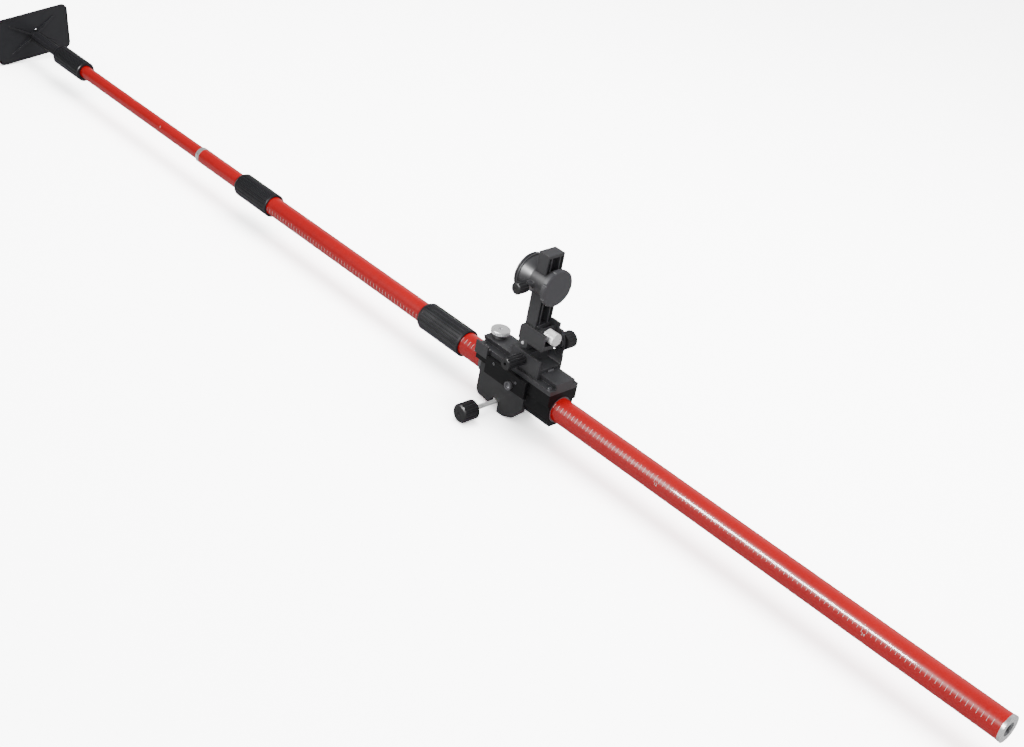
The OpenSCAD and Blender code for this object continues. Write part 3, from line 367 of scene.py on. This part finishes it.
def thread_in_bore(long, radius, pitch, depth_share):
    """A helical ridge along Z on the wall of a bore, which its base goes slightly into."""
    crest = radius - depth_share * pitch
    wall = radius + 0.03 * MM
    rise = 0.38 * pitch
    flat = 0.12 * pitch
    start = -pitch
    piece = outline([(wall, 0, start), (crest, 0, start + rise), (crest, 0, start + rise + flat),
                     (wall, 0, start + 2 * rise + flat), (wall, 0, start)])
    merge_doubles(piece, pitch / 200)
    sweep(piece, pitch, turns=math.ceil(long / pitch) + 2, steps=32)
    trim_thread(piece, long, pitch)
    return smooth(piece, 40)


def soften(piece, width):
    """Rounds off a turned piece's sharp edges."""
    use_modifier(piece, "BEVEL", width=width, segments=2, limit_method="ANGLE",
                 angle_limit=math.radians(50))
    return smooth(piece)


def rod(place, direction, long, radius, chamfer):
    """A chamfered rod from a place along a direction."""
    clear_selection()
    bpy.ops.mesh.primitive_cylinder_add(vertices=48, radius=radius, depth=long,
                                        location=(0, 0, long / 2))
    piece = bpy.context.object
    settle(piece)
    return stand(soften(piece, chamfer), place, direction)


def stand(piece, place, direction):
    """Turns a piece that was made along Z to a direction, and puts its foot at a place."""
    piece.rotation_mode = "QUATERNION"
    piece.rotation_quaternion = Vector(direction).to_track_quat("Z", "Y")
    piece.location = place
    settle(piece)
    return piece


# Finishes

class Finish:
    """One procedural material, read by the piece's own Object coordinates."""

    def __init__(self, name, **sockets):
        self.material = bpy.data.materials.new(name)
        self.material.use_nodes = True
        self.tree = self.material.node_tree
        self.shader = self.tree.nodes["Principled BSDF"]
        for socket, value in sockets.items():
            self.shader.inputs[socket.replace("_", " ")].default_value = value
        self.place = self.add("ShaderNodeTexCoord").outputs["Object"]

    def add(self, kind, links=(), **settings):
        """Adds a node, with its settings and what its sockets hold or are linked to."""
        node = self.tree.nodes.new(kind)
        for setting, value in settings.items():
            setattr(node, setting, value)
        for socket, source in dict(links).items():
            if isinstance(source, bpy.types.NodeSocket):
                self.tree.links.new(source, node.inputs[socket])
            else:
                node.inputs[socket].default_value = source
        return node

    def stretched(self, scale):
        """Object coordinates stretched along each axis."""
        return self.add("ShaderNodeMapping", {"Vector": self.place, "Scale": scale}).outputs[0]

    def noise(self, scale, detail=3.0, rough=0.5, place=None):
        """Cloudy noise from 0 to 1, scaled in cells to a metre."""
        return self.add("ShaderNodeTexNoise", {
            "Vector": place or self.place, "Scale": scale, "Detail": detail,
            "Roughness": rough}).outputs["Fac"]

    def between(self, value, low, high, to_low=0.0, to_high=1.0):
        """Maps a value's range to another one."""
        return self.add("ShaderNodeMapRange", {
            "Value": value, "From Min": low, "From Max": high, "To Min": to_low,
            "To Max": to_high}).outputs["Result"]

    def mixed(self, share, first, second):
        """A colour between two, by a share."""
        node = self.add("ShaderNodeMix", data_type="RGBA")
        self.tree.links.new(share, node.inputs[0])
        for index, value in ((6, first), (7, second)):
            if isinstance(value, bpy.types.NodeSocket):
                self.tree.links.new(value, node.inputs[index])
            else:
                node.inputs[index].default_value = (*value, 1)
        return node.outputs[2]

    def rounded(self, radius):
        """Normals that round off every edge."""
        return self.add("ShaderNodeBevel", {"Radius": radius}, samples=4).outputs[0]

    def paler_edges(self, normal):
        """1 along sharp edges and 0 on open faces."""
        flat = self.add("ShaderNodeNewGeometry").outputs["Normal"]
        node = self.add("ShaderNodeVectorMath", operation="DOT_PRODUCT")
        self.tree.links.new(normal, node.inputs[0])
        self.tree.links.new(flat, node.inputs[1])
        return self.between(node.outputs["Value"], low=0.995, high=0.90)

    def raised(self, height, strength, distance, normal=None):
        """Fine relief on top of a normal."""
        links = {"Height": height, "Strength": strength, "Distance": distance}
        if normal is not None:
            links["Normal"] = normal
        return self.add("ShaderNodeBump", links).outputs[0]

    def feed(self, **sources):
        """Links sources to the shader's sockets."""
        for socket, source in sources.items():
            self.tree.links.new(source, self.shader.inputs[socket.replace("_", " ")])
        return self.material


def tinted(value, factor):
    """A colour made lighter or darker."""
    return tuple(min(1.0, channel * factor) for channel in value)


def red_coat(colours):
    """Gloss coat on aluminium: orange peel, faint clouding and rubbed rings."""
    finish = Finish("red coat", Specular_IOR_Level=0.20, Coat_Weight=0.55, Coat_Roughness=0.04)
    cloud = finish.noise(scale=9.0, detail=2.0)
    rings = finish.noise(scale=60.0, detail=2.0, rough=0.6,
                         place=finish.stretched((14.0, 0.4, 0.4)))
    base = finish.mixed(finish.between(cloud, 0.35, 0.65), tinted(colours.red, 0.93),
                        tinted(colours.red, 1.05))
    worn = finish.between(rings, 0.66, 0.80, to_high=0.10)
    base = finish.mixed(worn, base, tinted(colours.rubbed, 1.0))
    peel = finish.raised(finish.noise(scale=300.0, detail=1.0), strength=0.015,
                         distance=0.2 * MM)
    return finish.feed(Base_Color=base, Roughness=finish.between(rings, 0.3, 0.7, 0.30, 0.42),
                       Normal=peel)


def print_ink(colours):
    """Screen-printed white, a little uneven."""
    finish = Finish("printed white", Roughness=0.5)
    base = finish.mixed(finish.noise(scale=1400.0, detail=2.0),
                        tinted(colours.print_white, 0.86), tinted(colours.print_white, 1.06))
    return finish.feed(Base_Color=base)


def plastic(name, base_colour, rough, grain, round_off, shine=0.32):
    """Moulded plastic: spark-eroded grain, cloudy gloss and a paler colour along sharp edges."""
    finish = Finish(name, Specular_IOR_Level=shine)
    normal = finish.rounded(round_off)
    cloud = finish.noise(scale=45.0, rough=0.6)
    base = finish.mixed(cloud, tinted(base_colour, 0.88), tinted(base_colour, 1.12))
    # The colour is made paler along every sharp edge
    share = finish.between(finish.paler_edges(normal), 0.0, 1.0, to_high=0.5)
    base = finish.mixed(share, base, tinted(base_colour, 2.4))
    fine = finish.raised(finish.noise(scale=2600.0, detail=2.0, rough=0.7), strength=grain,
                         distance=0.08 * MM, normal=normal)
    return finish.feed(Base_Color=base, Normal=fine,
                       Roughness=finish.between(cloud, 0.3, 0.7, rough - 0.05, rough + 0.07))


def metal(name, base_colour, rough, lines=(1.0, 1.0, 1.0)):
    """Plated or turned metal: fine turning lines, soft smudges and rounded edges."""
    finish = Finish(name, Metallic=0.70)
    normal = finish.rounded(0.15 * MM)
    smudge = finish.noise(scale=160.0, rough=0.6)
    turned = finish.noise(scale=900.0, detail=2.0, rough=0.7, place=finish.stretched(lines))
    base = finish.mixed(smudge, tinted(base_colour, 0.90), tinted(base_colour, 1.05))
    fine = finish.raised(turned, strength=0.10, distance=0.04 * MM, normal=normal)
    return finish.feed(Base_Color=base, Normal=fine,
                       Roughness=finish.between(smudge, 0.3, 0.7, rough - 0.04, rough + 0.08))


def rubber(colours):
    """Matt rubber with a fine cell texture."""
    finish = Finish("pad rubber")
    cells = finish.noise(scale=1900.0, rough=0.8)
    base = finish.mixed(finish.noise(scale=70.0), tinted(colours.rubber, 0.8),
                        tinted(colours.rubber, 1.3))
    fine = finish.raised(cells, strength=0.45, distance=0.1 * MM,
                         normal=finish.rounded(0.4 * MM))
    return finish.feed(Base_Color=base, Normal=fine,
                       Roughness=finish.between(cells, 0.2, 0.8, 0.75, 0.95))


def dress(nodes, material):
    """Gives CAD nodes a material."""
    for name in nodes:
        piece = NODES[name]
        piece.data.materials.clear()
        piece.data.materials.append(material)


def steel_finish(colours):
    """Bright steel, made when it is first asked for."""
    name = "bright steel"
    return bpy.data.materials.get(name) or metal(name, colours.steel, rough=0.30)


# The parts of the build

class StageOperator(Operator):
    """Add the pale floor, the soft lights and the camera"""
    bl_idname = "pole.stage"
    bl_label = "Stage"

    def execute(self, context):
        stage = context.scene.pole_stage
        low = CAD_BOX[0].z
        clear_selection()
        bpy.ops.mesh.primitive_plane_add(size=stage.floor_size, location=(0.9, 0, low))
        floor = context.object
        floor.name = "floor"
        floor.data.materials.append(self.floor_finish(stage))
        context.scene.world = self.surround(stage)

        overhead = self.soft_light("overhead", place=(0.9, -0.5, 2.2), target=(0.7, 0, 0),
                                   wide=2.6, high=1.4, power=stage.overhead)
        overhead.visible_glossy = False
        self.soft_light("front", place=(-1.3, 1.0, 1.0), target=(0.7, 0, 0.1), wide=0.9,
                        high=0.9, power=stage.front)
        window = self.soft_light("window", place=(0.87, 1.13, 0.82), target=(0.87, 0, 0),
                                 wide=0.62, high=0.30, power=stage.window)
        window.visible_diffuse = False

        bpy.ops.object.camera_add(location=stage.camera_place, rotation=stage.camera_turn)
        camera = context.object
        camera.name = "camera"
        camera.data.lens = stage.lens
        camera.data.sensor_width = 36
        camera.data.clip_start = 0.01
        context.scene.camera = camera
        return {"FINISHED"}

    def floor_finish(self, stage):
        """A matt floor that the camera sees paler than the pole does."""
        finish = Finish("pale floor")
        grain = finish.noise(scale=3.0, detail=2.0)
        dim = finish.mixed(grain, tinted(stage.floor, 0.985), tinted(stage.floor, 1.0))
        bright = finish.add("ShaderNodeVectorMath", operation="SCALE")
        finish.tree.links.new(dim, bright.inputs[0])
        bright.inputs["Scale"].default_value = stage.floor_gain
        seen = finish.add("ShaderNodeLightPath").outputs["Is Camera Ray"]
        tone = finish.mixed(seen, dim, bright.outputs[0])
        matt = finish.add("ShaderNodeBsdfDiffuse", {"Color": tone})
        finish.tree.links.new(matt.outputs[0],
                              finish.tree.nodes["Material Output"].inputs["Surface"])
        finish.tree.nodes.remove(finish.shader)
        return finish.material

    def surround(self, stage):
        """A pale surround, which the gloss mirrors dark on the camera's side."""
        world = bpy.data.worlds.new("pale surround")
        world.use_nodes = True
        tree = world.node_tree
        direction = tree.nodes.new("ShaderNodeTexCoord").outputs["Generated"]
        split = tree.nodes.new("ShaderNodeSeparateXYZ")
        tree.links.new(direction, split.inputs[0])
        fade = tree.nodes.new("ShaderNodeMapRange")
        fade.interpolation_type = "SMOOTHSTEP"
        behind = -0.80
        beside = -0.25
        for socket, value in (("From Min", behind), ("From Max", beside),
                              ("To Min", stage.bright_side), ("To Max", stage.dark_side)):
            fade.inputs[socket].default_value = value
        tree.links.new(split.outputs["Y"], fade.inputs["Value"])
        choice = tree.nodes.new("ShaderNodeMix")
        choice.inputs["A"].default_value = stage.world
        tree.links.new(tree.nodes.new("ShaderNodeLightPath").outputs["Is Glossy Ray"],
                       choice.inputs["Factor"])
        tree.links.new(fade.outputs["Result"], choice.inputs["B"])
        tree.links.new(choice.outputs["Result"], tree.nodes["Background"].inputs["Strength"])
        tree.nodes["Background"].inputs["Color"].default_value = (1, 1, 1, 1)
        return world

    def soft_light(self, name, place, target, wide, high, power):
        """A rectangular soft box that faces a target."""
        bpy.ops.object.light_add(type="AREA", location=place)
        light = bpy.context.object
        light.name = name
        light.data.shape = "RECTANGLE"
        light.data.size = wide
        light.data.size_y = high
        light.data.energy = power
        aim = Vector(target) - Vector(place)
        light.rotation_mode = "QUATERNION"
        light.rotation_quaternion = aim.to_track_quat("-Z", "Y")
        return light


class TubesOperator(Operator):
    """Coat the four tubes and finish the foot, the coupler and the inner lock parts"""
    bl_idname = "pole.tubes"
    bl_label = "Tubes and Locks"

    def execute(self, context):
        colours = context.scene.pole_colours
        dress(["main_tube", "second_tube", "third_tube", "top_tube"], red_coat(colours))
        dress(["foot_plug", "tube_coupler"],
              metal("turned aluminium", colours.aluminium, rough=0.26, lines=(1.0, 0.5, 0.5)))
        dress(["lower_collar", "middle_collar", "top_collar"],
              plastic("collar plastic", colours.ribbed, rough=0.36, grain=0.10,
                      round_off=0.3 * MM))
        dress(["lower_lock_sleeve", "middle_lock_sleeve", "top_lock_sleeve", "lower_collet",
               "middle_collet", "top_collet", "second_tube_bush", "third_tube_bush",
               "push_rod_bush"],
              plastic("sleeve plastic", colours.sleeve, rough=0.45, grain=0.12,
                      round_off=0.1 * MM))
        dress(["clamp_liner"],
              plastic("liner plastic", tinted(colours.sleeve, 0.9), rough=0.40, grain=0.08,
                      round_off=0.1 * MM))
        return {"FINISHED"}


class HardwareOperator(Operator):
    """Finish the screws, pins, thumbwheel, rack and pinion"""
    bl_idname = "pole.hardware"
    bl_label = "Hardware"

    def execute(self, context):
        colours = context.scene.pole_colours
        dress(["plate_screw", "jaw_pin", "clamp_nut", "clamp_washer", "thumbwheel", "tilt_pin",
               "bracket_lock_screw", "arm_screw", "slider_lock_screw", "clamp_screw",
               "stud_screw"], steel_finish(colours))
        dark = metal("dark steel", colours.dark_steel, rough=0.32)
        dress(["foot_insert", "rack", "pinion", "side_screws", "rail_screws"], dark)
        dress(["thumbwheel_stud"], dark)
        self.hinge_cap(context.scene.pole_mouldings, dark)
        return {"FINISHED"}

    def hinge_cap(self, sizes, finish):
        """A raised cap with a round socket over the screw that ends the jaw's hinge."""
        clear_selection()
        bpy.ops.mesh.primitive_cylinder_add(vertices=40, radius=sizes.cap_radius,
                                            depth=sizes.cap_height)
        piece = bpy.context.object
        pick("FACE", lambda place: place.z > 0.45 * sizes.cap_height)
        bpy.ops.mesh.inset(thickness=sizes.cap_wall)
        bpy.ops.mesh.extrude_region_move(
            TRANSFORM_OT_translate={"value": (0, 0, -sizes.cap_socket)})
        bpy.ops.object.mode_set(mode="OBJECT")
        soften(piece, 0.35 * MM)
        place = (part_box("moving_jaw")[0].x + sizes.cap_along,
                 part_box("clamp_body")[1].y + sizes.cap_height / 2,
                 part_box("side_screws")[0].z + sizes.cap_above)
        stand(piece, place, (0, 1, 0))
        hand_over(piece, "hinge_cap", "clamp", finish)


class MouldingsOperator(Operator):
    """Finish the black mouldings, knobs, jaw and rubber pads"""
    bl_idname = "pole.mouldings"
    bl_label = "Mouldings"

    def execute(self, context):
        colours = context.scene.pole_colours
        dress(["slide_rail", "carriage", "hinge_bracket", "arm", "platform_slider",
               "thumbwheel_seat"],
              plastic("moulded plastic", colours.moulded, rough=0.42, grain=0.14,
                      round_off=0.4 * MM))
        dress(["ceiling_plate", "push_rod"],
              plastic("plate plastic", colours.plate, rough=0.42, grain=0.14,
                      round_off=0.4 * MM))
        # Painted shade: the clamp body gets a darker colour than the other mouldings
        dress(["clamp_body"],
              plastic("clamp plastic painted shade", colours.clamp, rough=0.44, grain=0.14,
                      round_off=0.4 * MM, shine=0.12))
        dress(["clamp_knob", "pinion_knob", "bracket_lock_knob", "slider_lock_knob"],
              plastic("knob plastic", colours.knob, rough=0.44, grain=0.16,
                      round_off=0.3 * MM))
        dress(["stud_disc"],
              plastic("disc plastic", colours.disc, rough=0.46, grain=0.16,
                      round_off=0.3 * MM))
        dress(["moving_jaw"],
              plastic("jaw plastic", colours.jaw, rough=0.46, grain=0.18,
                      round_off=0.4 * MM))
        dress(["ceiling_pad", "platform_pad"], rubber(colours))
        self.open_carriage(context.scene.pole_mouldings, bpy.data.materials["moulded plastic"])
        return {"FINISHED"}

    def open_carriage(self, sizes, finish):
        """The carriage with the open recess that its foot end has under the bracket."""
        low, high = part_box("carriage")
        outside = 1 * MM
        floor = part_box("rack")[1].z + sizes.recess_floor
        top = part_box("hinge_bracket")[0].z + sizes.recess_top
        clear_selection()
        bpy.ops.mesh.primitive_cube_add(
            size=1, location=(low.x - outside + sizes.recess_depth / 2, 0, (floor + top) / 2),
            scale=(sizes.recess_depth, 2 * (high.y - sizes.recess_wall), top - floor))
        recess = bpy.context.object
        settle(recess)
        use_modifier(recess, "BEVEL", width=sizes.recess_corner, segments=3)

        piece = bpy.data.objects.new("open_carriage", NODES["carriage"].data.copy())
        bpy.context.scene.collection.objects.link(piece)
        select_only(piece)
        bpy.ops.mesh.customdata_custom_splitnormals_clear()
        merge_doubles(piece, 0.002 * MM)
        use_modifier(piece, "BOOLEAN", operation="DIFFERENCE", object=recess, solver="EXACT")
        select_only(recess)
        bpy.ops.object.delete()
        hand_over(smooth(piece, 30), "open_carriage", "carriage", finish,
                  ["carriage"])


class ScalesOperator(Operator):
    """Print the ticks and numbers on the main and second tubes"""
    bl_idname = "pole.scales"
    bl_label = "Printed Scales"

    def execute(self, context):
        scale = context.scene.pole_scale
        ink = print_ink(context.scene.pole_colours)
        main_radius = radius_of("main_tube")
        marks = []
        last = scale.ticks
        numbered = list(range(scale.first_number, last, scale.number_every))
        starts = [0] + [index + 1 for index in numbered]
        ends = numbered + [last]
        for start, end in zip(starts, ends):
            place = scale.first_tick + start * scale.tick_step
            marks.append(self.ticks(scale, main_radius, scale.main_turn, place, end - start))
        for count, index in enumerate(reversed(numbered)):
            place = scale.first_tick + index * scale.tick_step
            marks.append(self.ticks(scale, main_radius, scale.main_turn, place, 1, True))
            if count:
                marks.append(self.number(scale, str(12 * count), main_radius, scale.main_turn,
                                         place))
        row = join(marks)
        for point in row.data.vertices:
            drift = Matrix.Rotation(scale.main_drift * point.co.x, 3, "X")
            point.co = drift @ point.co
        hand_over(row, "main_scale", "main_pole", ink)

        second_radius = radius_of("second_tube")
        low, high = (corner.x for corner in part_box("second_tube"))
        step = scale.tick_step
        before = math.floor((scale.second_long - low - scale.second_start) / step)
        after = math.floor((high - scale.second_end - scale.second_long) / step)
        runs = ((scale.second_long - before * step, before, False), (scale.second_long, 1, True),
                (scale.second_long + step, after, False))
        marks = [self.ticks(scale, second_radius, scale.second_turn, *run) for run in runs]
        hand_over(join(marks), "second_scale", "second_section", ink)

        top = self.number(scale, "6", radius_of("top_tube"), scale.top_turn, scale.top_mark)
        hand_over(top, "top_number", "third_section", ink)
        return {"FINISHED"}

    def ticks(self, scale, radius, turn, place, count, long=False):
        """A run of ticks round a tube, the first one at a place along it."""
        arc = scale.tick_length + (2 * scale.long_extra if long else 0)
        half = arc / radius / 2
        piece = outline([(-scale.tick_width / 2, 0, 0), (scale.tick_width / 2, 0, 0)])
        first = turn + half
        piece.data.transform(Matrix.Translation(
            (place, radius * math.cos(first), radius * math.sin(first))))
        edit_all(piece)
        bpy.ops.mesh.spin(steps=8, angle=2 * half, center=(0, 0, 0), axis=(1, 0, 0))
        bpy.ops.mesh.select_all(action="SELECT")
        bpy.ops.mesh.remove_doubles(threshold=0.01 * MM)
        bpy.ops.mesh.normals_make_consistent(inside=False)
        bpy.ops.object.mode_set(mode="OBJECT")
        face_outward(piece)
        use_modifier(piece, "SOLIDIFY", thickness=scale.ink, offset=1.0)
        if count > 1:
            use_modifier(piece, "ARRAY", count=count, use_relative_offset=False,
                         use_constant_offset=True,
                         constant_offset_displace=(scale.tick_step, 0, 0))
        return smooth(piece, 30)

    def number(self, scale, text, radius, turn, place):
        """A printed number beside a long tick, wrapped round the tube."""
        clear_selection()
        bpy.ops.object.text_add()
        piece = bpy.context.object
        digit_share = 0.7
        piece.data.body = text
        piece.data.size = scale.digit_height / digit_share
        piece.data.space_character = 1.15
        bpy.ops.object.convert(target="MESH")
        piece = bpy.context.object
        select_only(piece)
        bpy.ops.object.mode_set(mode="EDIT")
        cuts = 5
        for cut in range(1, cuts):
            bpy.ops.mesh.select_all(action="SELECT")
            bpy.ops.mesh.bisect(plane_co=(0, cut * scale.digit_height / cuts, 0),
                                plane_no=(0, 1, 0))
        bpy.ops.object.mode_set(mode="OBJECT")
        top = turn - (scale.tick_length / 2 + scale.digit_gap) / radius
        for point in piece.data.vertices:
            around = top - (scale.digit_height - point.co.y) / radius
            along = place - scale.digit_gap - point.co.x
            point.co = (along, radius * math.cos(around), radius * math.sin(around))
        face_outward(piece)
        use_modifier(piece, "SOLIDIFY", thickness=scale.ink, offset=1.0)
        return piece


class ThreadsOperator(Operator):
    """Cut the threads of the clamp screw, the instrument stud and the foot socket"""
    bl_idname = "pole.threads"
    bl_label = "Threads"

    def execute(self, context):
        threads = context.scene.pole_threads
        steel = steel_finish(context.scene.pole_colours)
        low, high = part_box("clamp_screw")
        centre = middle("clamp_screw")
        screw = threaded_rod(high.y - low.y, (high.z - low.z) / 2, threads.clamp_pitch,
                             threads.depth, tip=0.6 * MM)
        stand(screw, (centre.x, high.y, centre.z), (0, -1, 0))
        hand_over(screw, "threaded_clamp_screw", "jaw_screw", steel,
                  ["clamp_screw"])

        low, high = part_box("stud_screw")
        centre = middle("stud_screw")
        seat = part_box("platform_pad")[1].x
        buried = 1 * MM
        shoulder = 0.33 * MM
        shank_radius = (high.z - low.z) / 2
        thread = threaded_rod(high.x - seat + buried, shank_radius - shoulder,
                              threads.stud_pitch, threads.depth, tip=1.0 * MM)
        stand(thread, (seat - buried, 0, centre.z), (1, 0, 0))
        shank = rod((low.x, 0, centre.z), (1, 0, 0), seat - low.x, shank_radius,
                    chamfer=0.4 * MM)
        hand_over(join([shank, thread]), "threaded_stud", "stud", steel,
                  ["stud_screw"])

        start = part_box("foot_insert")[0].x + threads.foot_mouth
        socket = thread_in_bore(threads.foot_depth, threads.foot_bore, threads.foot_pitch,
                                threads.depth)
        stand(socket, (start, 0, 0), (1, 0, 0))
        hand_over(socket, "foot_thread", "main_pole",
                  bpy.data.materials["dark steel"])
        return {"FINISHED"}


class PolePanel(Panel):
    """Lists the pole's build steps and settings"""
    bl_idname = "POLE_PT_build"
    bl_label = "Pole"
    bl_space_type = "VIEW_3D"
    bl_region_type = "UI"
    bl_category = "Pole"

    def draw(self, context):
        layout = self.layout
        for operator in STEPS:
            layout.operator(operator.bl_idname)
        for group in GROUPS:
            settings = getattr(context.scene, group)
            box = layout.box()
            for name in settings.__annotations__:
                box.prop(settings, name)


GROUPS = {"pole_colours": PoleColours, "pole_scale": PoleScale, "pole_threads": PoleThreads,
          "pole_mouldings": PoleMouldings, "pole_stage": PoleStage}
STEPS = [StageOperator, TubesOperator, HardwareOperator, MouldingsOperator, ScalesOperator,
         ThreadsOperator]


def register():
    for group in (*GROUPS.values(), *STEPS, PolePanel):
        bpy.utils.register_class(group)
    for name, group in GROUPS.items():
        setattr(bpy.types.Scene, name, PointerProperty(type=group))


def unregister():
    for name in GROUPS:
        delattr(bpy.types.Scene, name)
    for group in reversed((*GROUPS.values(), *STEPS, PolePanel)):
        bpy.utils.unregister_class(group)


def main():
    register()
    bpy.ops.object.select_all(action="DESELECT")
    bpy.ops.pole.stage()
    bpy.ops.pole.tubes()
    bpy.ops.pole.hardware()
    bpy.ops.pole.mouldings()
    bpy.ops.pole.scales()
    bpy.ops.pole.threads()
    bpy.context.view_layer.update()


if __name__ == "__main__":
    main()
